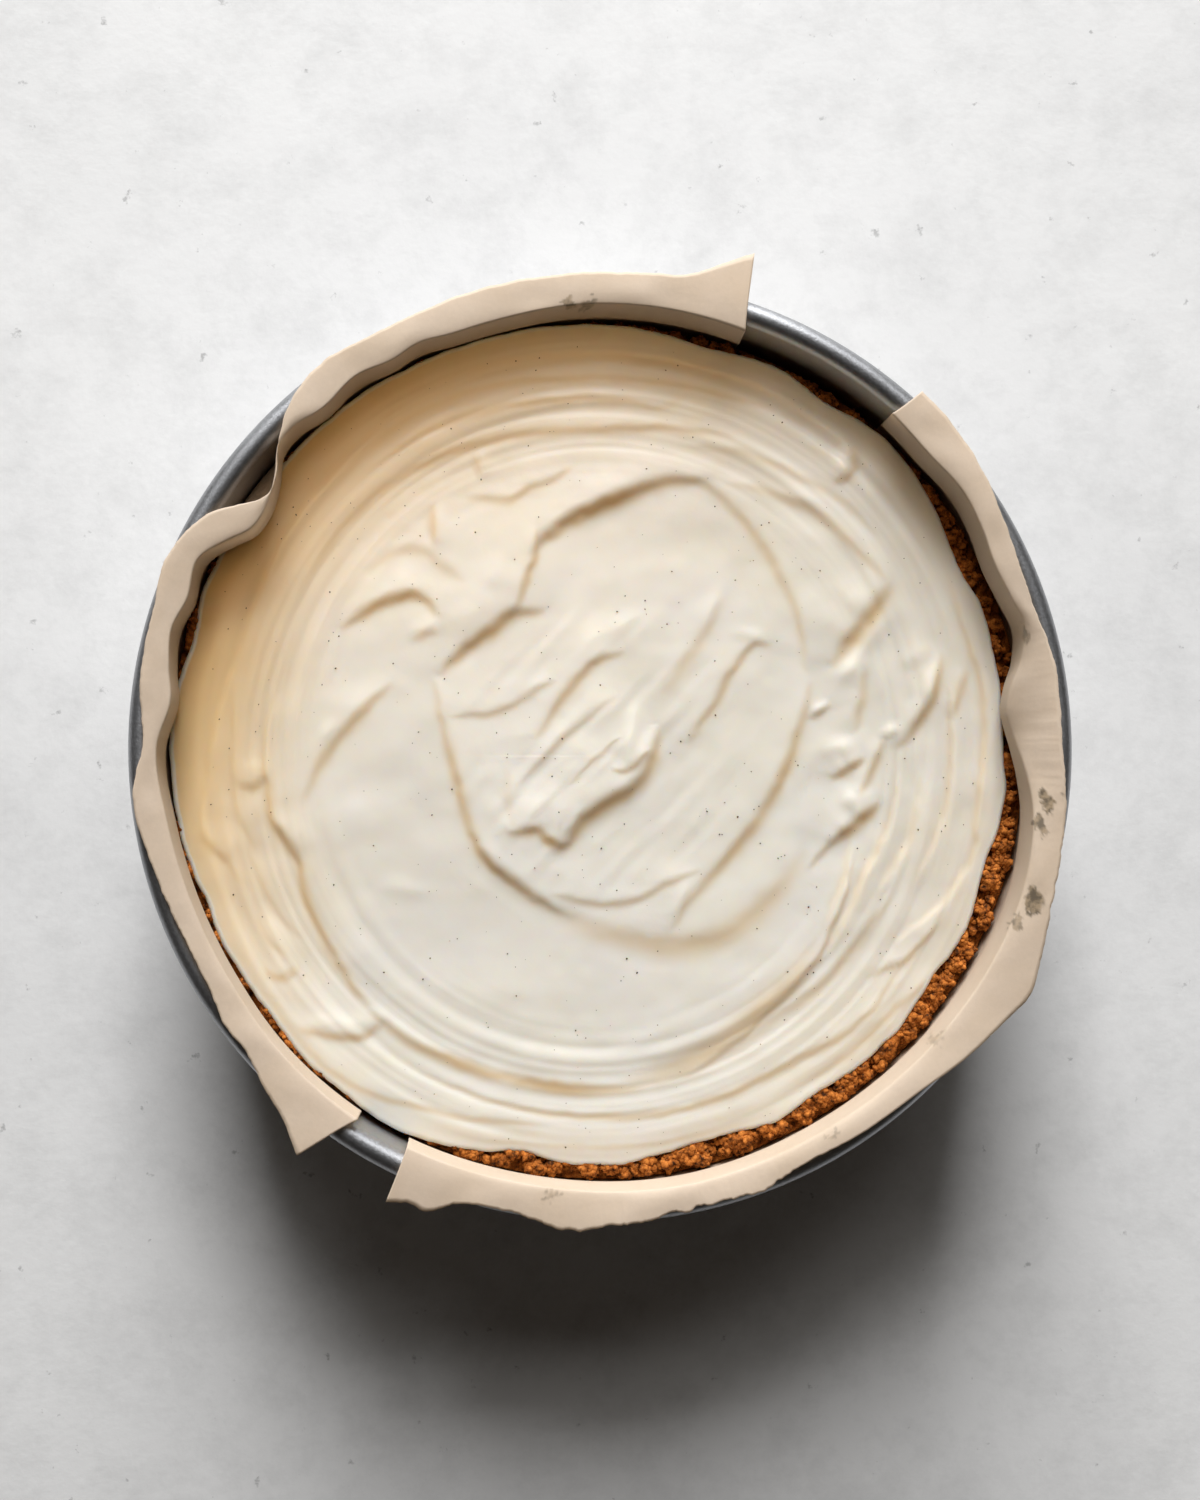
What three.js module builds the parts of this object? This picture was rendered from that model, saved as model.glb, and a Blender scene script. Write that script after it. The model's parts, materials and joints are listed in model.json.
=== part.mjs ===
// A lemon icebox pie, whole, in the round tin that it was set in: a deep tin with a rolled rim,
// two baking-paper collars standing against its wall and folded out over the rim, a crumb crust
// that lines the floor and the side, and a swirled cream filling.
// Millimetres, +Z up. The origin is the centre of the tin's underside.
import * as THREE from "three";

// ---- driving dimensions ----
const tinInnerRadius = 114.5; // a nine-inch tin
const tinHeight = 66;
const tinWall = 0.8;
const beadRadius = 3.05; // the rolled rim
const tinCorner = 5; // outside radius between the floor and the wall
const fit = 0.35; // clearance between neighbouring pieces

const paperThickness = 0.5;
const paperBottom = 7; // the collars stand just above the tin's rounded corner
const foldHeight = 66.8; // where a collar leaves the wall and folds outwards
const flapLength = 7.2; // paper beyond the fold
const foldBack = 52; // below this height a collar lies flat against the wall

const crustThickness = 8;
const crustFloor = 6;
const crustTop = 47.3;

const fillingTop = 49.6; // the low level of the cream, between the swirls
const capUnderside = 48.5; // the filling spreads over the top of the crust's side
const capEdgeHeight = 0.9;

// ---- sizes worked out from them ----
const stepsRound = 72;
const paperRadius = tinInnerRadius - fit - paperThickness / 2;
const crustOuter = paperRadius - paperThickness / 2 - fit - 0.1;
const crustInner = crustOuter - crustThickness;
const crustBottom = tinWall + fit;
const fillingBottom = crustFloor + fit;
const fillingSide = crustInner - fit;

const radians = THREE.MathUtils.degToRad;
const smooth = THREE.MathUtils.smoothstep;

// A smooth bump round the circle: height `by` at angle `at`, fading out over `spread` degrees.
function bump(degrees, at, spread, by) {
  const away = ((degrees - at + 540) % 360) - 180;
  return by * Math.exp(-((away / spread) ** 2));
}

function sumOfBumps(degrees, bumps) {
  return bumps.reduce((sum, [at, spread, by]) => sum + bump(degrees, at, spread, by), 0);
}

function geometryOf(positions, triangles) {
  const geometry = new THREE.BufferGeometry();
  geometry.setAttribute("position", new THREE.Float32BufferAttribute(positions, 3));
  geometry.setIndex(triangles);
  geometry.computeVertexNormals();
  return geometry;
}

// A solid of revolution whose section may change with the angle. sectionAt(degrees) gives
// [radius, height] points from the bottom of the axis to its top, without the two axis points.
function turnedSolid(sectionAt, bottomHeight, topHeight) {
  const positions = [0, 0, bottomHeight, 0, 0, topHeight];
  const rows = sectionAt(0).length;
  for (let i = 0; i < stepsRound; i++) {
    const degrees = (360 * i) / stepsRound;
    const angle = radians(degrees);
    for (const [radius, height] of sectionAt(degrees)) {
      positions.push(radius * Math.cos(angle), radius * Math.sin(angle), height);
    }
  }
  const triangles = [];
  for (let i = 0; i < stepsRound; i++) {
    const here = 2 + i * rows;
    const next = 2 + ((i + 1) % stepsRound) * rows;
    triangles.push(0, next, here);
    for (let j = 0; j < rows - 1; j++) {
      triangles.push(here + j, next + j, next + j + 1);
      triangles.push(here + j, next + j + 1, here + j + 1);
    }
    triangles.push(1, here + rows - 1, next + rows - 1);
  }
  return geometryOf(positions, triangles);
}

function arcPoints(centreX, centreY, radius, fromDegrees, toDegrees, steps) {
  return Array.from({ length: steps + 1 }, (_, i) => {
    const angle = radians(fromDegrees + ((toDegrees - fromDegrees) * i) / steps);
    return new THREE.Vector2(centreX + radius * Math.cos(angle), centreY + radius * Math.sin(angle));
  });
}

// ---- the tin: one turned sheet with a rounded corner and a rolled rim ----
function makeTin() {
  const outer = tinInnerRadius + tinWall;
  const beadX = tinInnerRadius + beadRadius;
  const beadY = tinHeight - beadRadius;
  const joint = THREE.MathUtils.radToDeg(Math.acos((outer - beadX) / beadRadius));
  const profile = [
    new THREE.Vector2(0, 0),
    ...arcPoints(outer - tinCorner, tinCorner, tinCorner, -90, 0, 3),
    ...arcPoints(beadX, beadY, beadRadius, -joint, 180, 8),
    ...arcPoints(outer - tinCorner, tinCorner, tinCorner - tinWall, 0, -90, 3),
    new THREE.Vector2(0, tinWall),
  ];
  const geometry = new THREE.LatheGeometry(profile, stepsRound);
  geometry.rotateX(Math.PI / 2);
  return geometry;
}

// ---- the paper collars ----
// Each is a strip from one angle to another. creaseBumps move its fold in or out from the wall,
// edgeBumps do the same for its free edge, and dipBumps lower the fold where the strip buckles.
const collars = {
  paper_left: {
    from: 71.8,
    to: 236,
    creaseBumps: [
      [105, 7, -0.9],
      [130, 3, -1.1],
      [146, 5.2, -8.2],
      [173, 3.4, -2.6],
    ],
    edgeBumps: [
      [71, 6.5, 13],
      [127, 5, 2.2],
      [143.5, 5.6, -13],
      [156, 4, 2.4],
      [180, 3.4, -2.4],
      [205, 9, -1.6],
      [234, 6, 9.5],
    ],
    dipBumps: [],
  },
  paper_right: {
    from: 244,
    to: 408.8,
    creaseBumps: [
      [5, 6.5, -7],
      [26, 7, -1.4],
    ],
    edgeBumps: [
      [244, 6, 7.2],
      [267, 5, 3.2],
      [298, 9, -1.2],
      [330, 8, 6.4],
      [5, 8, -2],
      [19, 6, -2.6],
      [49, 10, 3.8],
    ],
    dipBumps: [[5, 8, -7]],
  },
};
const creaseRadius = 112.4;
const edgeRadius = 118.5;

// The collar's middle surface: up the wall, in to the fold, and out along the flap.
function collarSection(collar, degrees) {
  const crease = creaseRadius + sumOfBumps(degrees, collar.creaseBumps);
  const edge = edgeRadius + sumOfBumps(degrees, collar.edgeBumps);
  const fold = foldHeight + sumOfBumps(degrees, collar.dipBumps);
  const reach = edge - crease;
  const length = Math.max(flapLength + (foldHeight - fold), Math.abs(reach) * 1.06);
  const rise = Math.sqrt(length ** 2 - reach ** 2);
  const leaving = Math.min(foldBack, fold - 7);
  const upTheWall = [0, 0.35, 0.7, 0.93].map((share) => leaving + share * (fold - leaving));
  const points = [paperBottom, ...upTheWall].map((height) => [
    THREE.MathUtils.lerp(paperRadius, crease, smooth(height, leaving, fold)),
    height,
  ]);
  points.push([crease + 0.12 * reach, fold + 0.12 * rise + 0.4]);
  points.push([crease + 0.5 * reach, fold + 0.55 * rise + 0.3]);
  points.push([edge, fold + rise]);
  return points;
}

function makeCollar(collar) {
  const stepsAlong = 46;
  const surface = [];
  for (let i = 0; i <= stepsAlong; i++) {
    const degrees = THREE.MathUtils.lerp(collar.from, collar.to, i / stepsAlong);
    const angle = radians(degrees);
    surface.push(collarSection(collar, degrees).map(([radius, height]) =>
      new THREE.Vector3(radius * Math.cos(angle), radius * Math.sin(angle), height)));
  }
  const rows = surface[0].length;
  const columns = surface.length;
  const at = (i, j) => surface[THREE.MathUtils.clamp(i, 0, columns - 1)][THREE.MathUtils.clamp(j, 0, rows - 1)];
  const positions = [];
  for (const side of [-0.5, 0.5]) {
    for (let i = 0; i < columns; i++) {
      for (let j = 0; j < rows; j++) {
        const along = at(i + 1, j).clone().sub(at(i - 1, j));
        const across = at(i, j + 1).clone().sub(at(i, j - 1));
        const normal = along.cross(across).normalize();
        const point = at(i, j).clone().addScaledVector(normal, side * paperThickness);
        positions.push(point.x, point.y, point.z);
      }
    }
  }
  const inner = (i, j) => i * rows + j;
  const outer = (i, j) => columns * rows + i * rows + j;
  const triangles = [];
  const quad = (a, b, c, d) => triangles.push(a, b, c, a, c, d);
  for (let i = 0; i < columns - 1; i++) {
    for (let j = 0; j < rows - 1; j++) {
      quad(inner(i, j), inner(i, j + 1), inner(i + 1, j + 1), inner(i + 1, j));
      quad(outer(i, j), outer(i + 1, j), outer(i + 1, j + 1), outer(i, j + 1));
    }
    quad(inner(i, 0), inner(i + 1, 0), outer(i + 1, 0), outer(i, 0));
    quad(inner(i, rows - 1), outer(i, rows - 1), outer(i + 1, rows - 1), inner(i + 1, rows - 1));
  }
  for (let j = 0; j < rows - 1; j++) {
    quad(inner(0, j), outer(0, j), outer(0, j + 1), inner(0, j + 1));
    quad(inner(columns - 1, j), inner(columns - 1, j + 1), outer(columns - 1, j + 1), outer(columns - 1, j));
  }
  return geometryOf(positions, triangles);
}

// ---- the crust: a pressed crumb cup, uneven along the top of its side ----
function crustSection(degrees) {
  const turn = radians(degrees);
  const uneven = 0.35 * Math.sin(9 * turn) + 0.3 * Math.sin(23 * turn + 1) + 0.2 * Math.sin(31 * turn);
  return [
    [crustOuter - 4.5, crustBottom],
    [crustOuter, crustBottom + 4.5],
    [crustOuter, crustTop - 1.4 + uneven],
    [crustOuter - 1.6, crustTop + uneven],
    [crustInner + 1.6, crustTop - 0.5 * uneven],
    [crustInner, crustTop - 1.8],
    [crustInner, crustFloor + 2.5],
    [crustInner - 2.5, crustFloor],
  ];
}

// ---- the filling ----
// How far the filling spreads towards the wall: wide on the left, short of it on the right.
const edgeBumps = [
  [166, 5, -2.2],
  [198, 9, -1.2],
  [259, 6, -3.4],
  [285, 9, -2.6],
  [326, 7, -3.2],
  [344, 6, -3.6],
  [4, 9, -3.6],
  [27, 10, -2.6],
];
const spreadMean = 109.7;
const spreadSwing = 2.6;
const spreadTowards = 168;

function fillingRadius(degrees) {
  const swing = spreadSwing * Math.cos(radians(degrees - spreadTowards));
  return Math.max(spreadMean + swing + 0.45 * sumOfBumps(degrees, edgeBumps), fillingSide + 0.8);
}

// The marks that a palette knife leaves. Each is a line with a crest on it: the cream falls away
// within `steep` on the right of the line, seen along it, and within `gentle` on its left.
const knifeMarks = [
  { through: [[-60, 20], [-77, -10], [-78, -36], [-61, -66], [-30, -84], [5, -88]], height: 2.4, steep: 6, gentle: 16 },
  { through: [[5, -88], [35, -78], [56, -55], [64, -25], [66, 5]], height: 2.2, steep: 6, gentle: 16 },
  { through: [[-40, 26], [-41, 2], [-34, -22], [-14, -40], [12, -48], [38, -42], [52, -14]], height: 2.2, steep: 6, gentle: 14 },
  { through: [[54, 22], [46, 50], [22, 71], [-6, 61], [-20, 50]], height: 2.6, steep: 16, gentle: 7 },
  { through: [[-24, -22], [-8, -26], [6, -16], [14, 2], [6, 14]], height: 4, steep: 6, gentle: 12 },
  { through: [[64, -20], [72, 8], [76, 36]], height: 2.6, steep: 10, gentle: 10 },
  { through: [[-36, 62], [-48, 44], [-66, 34]], height: 1.8, steep: 8, gentle: 8 },
];

function markHeight(curvePoints, mark, x, y) {
  let nearest = Infinity;
  let side = 1;
  for (let i = 0; i < curvePoints.length - 1; i++) {
    const [a, b] = [curvePoints[i], curvePoints[i + 1]];
    const [dx, dy] = [b.x - a.x, b.y - a.y];
    const share = THREE.MathUtils.clamp(((x - a.x) * dx + (y - a.y) * dy) / (dx * dx + dy * dy), 0, 1);
    const [offX, offY] = [x - a.x - share * dx, y - a.y - share * dy];
    const distance = Math.hypot(offX, offY);
    if (distance < nearest) {
      nearest = distance;
      side = Math.sign(dx * offY - dy * offX) || 1;
    }
  }
  const width = side > 0 ? mark.gentle : mark.steep;
  return mark.height * Math.exp(-((nearest / width) ** 2));
}

const markCurves = knifeMarks.map((mark) =>
  new THREE.SplineCurve(mark.through.map(([x, y]) => new THREE.Vector2(x, y))).getPoints(24));

// Rings left by turning the tin under the knife, strongest near the wall.
function ringHeight(radius, degrees) {
  const strength = smooth(radius, 70, 92) * 0.7;
  return strength * Math.sin((radius / 3.2 + degrees / 90) * 2 * Math.PI * 0.5);
}

function fillingHeight(radius, degrees) {
  const x = radius * Math.cos(radians(degrees));
  const y = radius * Math.sin(radians(degrees));
  const marks = knifeMarks.reduce((sum, mark, i) => sum + markHeight(markCurves[i], mark, x, y), 0);
  const away = 1 - smooth(radius, 98, 110);
  return fillingTop + marks * away + ringHeight(radius, degrees);
}

function fillingSection(degrees) {
  const edge = fillingRadius(degrees);
  const ringsAcross = 18;
  const section = [
    [fillingSide - 3, fillingBottom],
    [fillingSide, fillingBottom + 3],
    [fillingSide, capUnderside],
    [edge - 0.3, capUnderside],
    [edge, capUnderside + 0.5 * capEdgeHeight],
  ];
  for (let i = 0; i < ringsAcross; i++) {
    const radius = (edge - 0.7) * (1 - i / ringsAcross);
    section.push([radius, Math.max(fillingHeight(radius, degrees), capUnderside + capEdgeHeight)]);
  }
  return section;
}

// ---- the object ----
const materials = {
  tin: new THREE.MeshStandardMaterial({ color: 0x8a8d91, roughness: 0.38, metalness: 0.9 }),
  paper: new THREE.MeshStandardMaterial({ color: 0xdcc8b2, roughness: 0.75, metalness: 0 }),
  crumb: new THREE.MeshStandardMaterial({ color: 0x7a4a26, roughness: 0.9, metalness: 0 }),
  cream: new THREE.MeshStandardMaterial({ color: 0xf1e7d6, roughness: 0.45, metalness: 0 }),
};

const pie = new THREE.Group();
pie.name = "lemon_icebox_pie";

function add(name, geometry, material) {
  const mesh = new THREE.Mesh(geometry, material);
  mesh.name = name;
  pie.add(mesh);
}

add("tin", makeTin(), materials.tin);
for (const [name, collar] of Object.entries(collars)) {
  add(name, makeCollar(collar), materials.paper);
}
add("crust", turnedSolid(crustSection, crustBottom, crustFloor), materials.crumb);
add("filling", turnedSolid(fillingSection, fillingBottom, fillingHeight(0, 0)), materials.cream);

export default pie;
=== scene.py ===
import json
import math
import bpy
import numpy as np
from mathutils import Matrix, Vector

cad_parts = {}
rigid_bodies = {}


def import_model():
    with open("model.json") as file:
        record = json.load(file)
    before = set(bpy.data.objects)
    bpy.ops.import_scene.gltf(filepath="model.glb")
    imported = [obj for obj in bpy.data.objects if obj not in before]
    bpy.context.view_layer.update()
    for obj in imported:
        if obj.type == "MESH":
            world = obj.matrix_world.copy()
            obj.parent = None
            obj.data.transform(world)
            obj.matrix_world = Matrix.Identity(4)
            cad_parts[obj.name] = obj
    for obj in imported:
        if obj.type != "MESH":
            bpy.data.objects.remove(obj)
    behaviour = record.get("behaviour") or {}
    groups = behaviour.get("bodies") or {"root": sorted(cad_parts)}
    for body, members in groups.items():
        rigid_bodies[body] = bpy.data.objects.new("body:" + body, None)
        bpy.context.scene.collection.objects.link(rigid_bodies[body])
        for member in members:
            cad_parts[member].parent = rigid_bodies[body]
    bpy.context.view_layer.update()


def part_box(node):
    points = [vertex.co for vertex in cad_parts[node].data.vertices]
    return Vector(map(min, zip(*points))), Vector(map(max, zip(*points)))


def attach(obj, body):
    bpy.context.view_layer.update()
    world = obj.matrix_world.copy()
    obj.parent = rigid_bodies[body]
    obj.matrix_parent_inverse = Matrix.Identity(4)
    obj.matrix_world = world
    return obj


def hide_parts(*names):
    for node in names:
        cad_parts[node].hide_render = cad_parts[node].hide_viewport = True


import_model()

scene = bpy.context.scene
mm = 0.001
print("frame loaded")

# Shared helpers.


def smoothStep(t):  # eases from 0 to 1
    t = np.clip(t, 0, 1)
    return t * t * (3 - 2 * t)


def latticeNoise(u, v, seed, turns=0):  # smooth random hills a unit apart; v repeats after that many turns
    lattice = np.random.default_rng(seed).uniform(-1, 1, (256, 256))
    i, j = np.floor(u).astype(int), np.floor(v).astype(int)
    a, b = smoothStep(u - i), smoothStep(v - j)
    around = turns or 256
    low = lattice[i % 256, j % around] * (1 - a) + lattice[(i + 1) % 256, j % around] * a
    high = lattice[i % 256, (j + 1) % around] * (1 - a) + lattice[(i + 1) % 256, (j + 1) % around] * a
    return low * (1 - b) + high * b


def throughKeys(degrees, keys):  # a smooth curve through (angle, value) keys: Hermite pieces, mean slopes
    at, value = np.array(keys, float).T
    slope = np.gradient(value, at)
    k = np.clip(np.searchsorted(at, degrees) - 1, 0, len(at) - 2)
    gap = at[k + 1] - at[k]
    t = np.clip((degrees - at[k]) / gap, 0, 1)
    return (value[k] * (1 + 2 * t) * (1 - t) ** 2 + slope[k] * gap * t * (1 - t) ** 2
            + value[k + 1] * t * t * (3 - 2 * t) + slope[k + 1] * gap * t * t * (t - 1))


def polarPoints(radius, turn, height):  # radius, angle in radians and height to x, y, z
    return np.stack([radius * np.cos(turn), radius * np.sin(turn), height + 0 * turn], axis=-1)


def gridFaces(rows, columns, closed=False):  # quads between the points of a rows by columns grid
    wide = columns if closed else columns - 1
    i, j = np.meshgrid(np.arange(rows - 1), np.arange(wide), indexing="ij")
    k = (j + 1) % columns
    low, high = i * columns, (i + 1) * columns
    return np.stack([low + j, low + k, high + k, high + j], axis=-1).reshape(-1, 4)


def makeMesh(name, points, quads, triangles=None):  # four-sided and three-sided faces, all smooth
    points = np.asarray(points, np.float32).reshape(-1, 3)
    triangles = np.zeros((0, 3), int) if triangles is None else triangles
    corners = np.concatenate([np.asarray(quads, int).ravel(), np.asarray(triangles, int).ravel()])
    starts = np.concatenate([np.arange(len(quads)) * 4, len(quads) * 4 + np.arange(len(triangles)) * 3])
    mesh = bpy.data.meshes.new(name)
    mesh.vertices.add(len(points))
    mesh.vertices.foreach_set("co", points.ravel())
    mesh.loops.add(len(corners))
    mesh.loops.foreach_set("vertex_index", corners.astype(np.int32))
    mesh.polygons.add(len(starts))
    mesh.polygons.foreach_set("loop_start", starts.astype(np.int32))
    mesh.update(calc_edges=True)
    mesh.polygons.foreach_set("use_smooth", np.ones(len(starts), bool))
    mesh.validate()
    piece = bpy.data.objects.new(name, mesh)
    scene.collection.objects.link(piece)
    return piece


def turnedPiece(name, points):  # rings from the pole underneath, up the outside, to the pole on top
    rings, columns = points.shape[:2]
    flat = points.reshape(-1, 3)
    poles = np.stack([points[0].mean(axis=0), points[-1].mean(axis=0)])
    j = np.arange(columns)
    k = (j + 1) % columns
    last = (rings - 1) * columns
    low = np.stack([k, j, np.full(columns, len(flat))], axis=-1)
    high = np.stack([last + j, last + k, np.full(columns, len(flat) + 1)], axis=-1)
    sides = gridFaces(rings, columns, closed=True)
    return makeMesh(name, np.vstack([flat, poles]), sides, np.vstack([low, high]))


def addValues(piece, name, values):  # one number for each point, read by the material
    layer = piece.data.attributes.new(name, "FLOAT", "POINT")
    layer.data.foreach_set("value", np.asarray(values, np.float32).ravel())


def finishPiece(piece, material, slotName, *nodes):  # nodes are the CAD nodes that the piece stands for
    piece.data.materials.append(material)
    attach(piece, "root")
    if nodes:
        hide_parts(*nodes)
    print(piece.name, len(piece.data.polygons), "faces")


# The corners of a regular lump are those of three crossed golden rectangles, about one from the middle.
golden, cornerFar = 1.618, 1.9
lumpPoints = np.array([(0, a, b * golden) for a in (-1, 1) for b in (-1, 1)]
                      + [(a, b * golden, 0) for a in (-1, 1) for b in (-1, 1)]
                      + [(b * golden, 0, a) for a in (-1, 1) for b in (-1, 1)]) / cornerFar


def lumpHull():  # the twenty faces of a regular lump with twelve corners, all pointing out
    apart = np.linalg.norm(lumpPoints[:, None] - lumpPoints[None], axis=-1)
    touching = (apart > 0.1) & (apart < apart[apart > 0.1].min() * 1.1)
    found = [(a, b, c) for a in range(12) for b in range(a + 1, 12) for c in range(b + 1, 12)
             if touching[a, b] and touching[b, c] and touching[a, c]]
    faces = []
    for a, b, c in found:
        p, q, r = lumpPoints[[a, b, c]]
        out = np.dot(np.cross(q - p, r - p), p + q + r) > 0
        faces.append((a, b, c) if out else (a, c, b))
    return np.array(faces)


def scatterLumps(name, centres, sizes, seed, rough):  # one joined mesh of turned, dented copies of the lump
    rng = np.random.default_rng(seed)
    count = len(centres)
    dents = 1 + rough * rng.uniform(-1, 1, (count, 12, 1))
    stretch = rng.uniform(0.7, 1.3, (count, 1, 3))
    axis = rng.normal(size=(count, 4))
    w, x, y, z = (axis / np.linalg.norm(axis, axis=1, keepdims=True)).T
    turnBy = np.stack([1 - 2 * (y * y + z * z), 2 * (x * y - z * w), 2 * (x * z + y * w),
                       2 * (x * y + z * w), 1 - 2 * (x * x + z * z), 2 * (y * z - x * w),
                       2 * (x * z - y * w), 2 * (y * z + x * w), 1 - 2 * (x * x + y * y)], axis=-1)
    lumps = np.einsum("nij,nkj->nki", turnBy.reshape(-1, 3, 3), lumpPoints[None] * dents * stretch)
    lumps *= sizes[:, None, None]
    faces = lumpHull()[None] + 12 * np.arange(count)[:, None, None]
    return makeMesh(name, lumps + centres[:, None], np.zeros((0, 4), int), faces.reshape(-1, 3))


class Looks:  # a short way to write a material's nodes
    def __init__(self, name):
        self.material = bpy.data.materials.new(name)
        self.material.use_nodes = True
        self.tree = self.material.node_tree
        self.shader = self.tree.nodes["Principled BSDF"]
        self.place = self.node("ShaderNodeTexCoord").outputs["Object"]

    def node(self, kind, inputs=None, **settings):  # an input is a value or another node's socket
        made = self.tree.nodes.new(kind)
        for key, value in settings.items():
            setattr(made, key, value)
        for key, value in (inputs or {}).items():
            if isinstance(value, bpy.types.NodeSocket):
                self.tree.links.new(value, made.inputs[key])
            else:
                made.inputs[key].default_value = value
        return made

    def noise(self, size, detail=4, rough=0.55, stretch=None):  # size is the width of a patch in metres
        where = self.place
        if stretch:
            where = self.node("ShaderNodeMapping", {"Vector": where, "Scale": stretch}).outputs["Vector"]
        return self.node("ShaderNodeTexNoise", {"Vector": where, "Scale": 1 / size, "Detail": detail,
                                                "Roughness": rough}).outputs["Fac"]

    def ramp(self, value, *stops):  # stops are (position, colour or grey)
        made = self.node("ShaderNodeValToRGB", {"Fac": value})
        steps = made.color_ramp.elements
        while len(steps) < len(stops):
            steps.new(0.5)
        for step, (position, shade) in zip(steps, stops):
            step.position = position
            step.color = (*((shade,) * 3 if isinstance(shade, (int, float)) else shade), 1)
        return made.outputs["Color"]

    def mix(self, share, first, second, kind="MIX"):  # a share of 0 gives the first colour, 1 the second
        made = self.node("ShaderNodeMix", data_type="RGBA", blend_type=kind)
        for key, value in ((0, share), (6, first), (7, second)):
            if isinstance(value, bpy.types.NodeSocket):
                self.tree.links.new(value, made.inputs[key])
            else:
                made.inputs[key].default_value = value if key == 0 else (*value, 1)
        return made.outputs[2]

    def attribute(self, name):  # the number that addValues gave each point
        return self.node("ShaderNodeAttribute", attribute_name=name).outputs["Fac"]

    def bump(self, *layers):  # layers are (height socket, depth in metres, strength), finest last
        normal = None
        for height, depth, strength in layers:
            made = self.node("ShaderNodeBump", {"Height": height, "Distance": depth, "Strength": strength})
            if normal:
                self.tree.links.new(normal, made.inputs["Normal"])
            normal = made.outputs["Normal"]
        self.tree.links.new(normal, self.shader.inputs["Normal"])

    def sheer(self, share, colour):  # a thin sheet that lets this share of its light through
        through = self.node("ShaderNodeBsdfTranslucent", {"Color": colour})
        both = self.node("ShaderNodeMixShader", {0: share})
        self.tree.links.new(self.shader.outputs["BSDF"], both.inputs[1])
        self.tree.links.new(through.outputs["BSDF"], both.inputs[2])
        self.tree.links.new(both.outputs["Shader"], self.tree.nodes["Material Output"].inputs["Surface"])

    def set(self, **inputs):  # underscores stand for spaces in the shader's socket names
        for key, value in inputs.items():
            socket = self.shader.inputs[key.replace("_", " ")]
            if isinstance(value, bpy.types.NodeSocket):
                self.tree.links.new(value, socket)
            else:
                socket.default_value = value
        return self.material


# The camera, the lamps and the floor.
view = {
    "lens": 47, "above": 0.4963, "from": (-0.024, -0.017), "at": (-0.0015, -0.0011),
    "floorSize": 3.0, "exposure": 0.0,
    # a broad low window, the sky over it, and warm light thrown back by the room
    "window": {"at": (-0.14, 2.6, 1.34), "size": (1.35, 2.15), "power": 154, "colour": (1.0, 1.0, 1.0)},
    "skyLamp": {"at": (0.05, 1.62, 2.12), "size": (1.9, 0.6), "power": 9.5, "colour": (1.0, 0.98, 0.95)},
    "warmLamp": {"at": (-0.12, 0.62, 1.40), "size": (0.9, 0.8), "power": 4.2, "colour": (1.0, 0.76, 0.54)},
    # the warm light that the lit paper throws on the cream beside it
    "rimLamp": {"at": (-0.050, 0.082, 0.135), "size": (0.20, 0.04), "power": 0.034,
                "colour": (1.0, 0.62, 0.26), "target": (-0.060, 0.112, 0.055)},
    "ambient": (1.0, 0.82, 0.66), "ambientPower": 0.024,
}
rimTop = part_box("tin")[1].z


def aim(thing, target):  # turns a camera or a lamp so that it looks at the target
    thing.rotation_euler = (target - thing.location).to_track_quat("-Z", "Y").to_euler()


def makeCamera():  # looks down on the rim, with +Y up in the picture
    camera = bpy.data.objects.new("camera", bpy.data.cameras.new("camera"))
    scene.collection.objects.link(camera)
    camera.data.lens = view["lens"]
    camera.data.sensor_width = 36
    target = Vector((*view["at"], rimTop))
    camera.location = target + Vector((*view["from"], view["above"]))
    back = (camera.location - target).normalized()
    right = Vector((0, 1, 0)).cross(back).normalized()
    camera.rotation_euler = Matrix((right, back.cross(right), back)).transposed().to_euler()
    camera.data.clip_start = 0.01
    scene.camera = camera


def makeLamp(name, facts):  # a glowing rectangle that faces its target
    lamp = bpy.data.objects.new(name, bpy.data.lights.new(name, "AREA"))
    scene.collection.objects.link(lamp)
    lamp.data.shape = "RECTANGLE"
    lamp.data.size, lamp.data.size_y = facts["size"]
    lamp.data.energy = facts["power"]
    lamp.data.color = facts["colour"]
    lamp.location = facts["at"]
    aim(lamp, Vector(facts.get("target", (0, 0, rimTop))))
    return lamp


def lightOnly(lamp, *starts):  # the lamp's light falls only on the pieces whose names start so
    lit = bpy.data.collections.new("lit_by_" + lamp.name)
    for thing in scene.objects:
        if thing.name.startswith(starts):
            lit.objects.link(thing)
    lamp.visible_camera = False
    lamp.light_linking.receiver_collection = lit


def makeRoom():  # the weak light from all round
    world = bpy.data.worlds.new("room")
    world.use_nodes = True
    world.node_tree.nodes["Background"].inputs["Color"].default_value = (*view["ambient"], 1)
    world.node_tree.nodes["Background"].inputs["Strength"].default_value = view["ambientPower"]
    scene.world = world
    scene.view_settings.view_transform = "Standard"
    scene.view_settings.exposure = view["exposure"]


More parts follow.
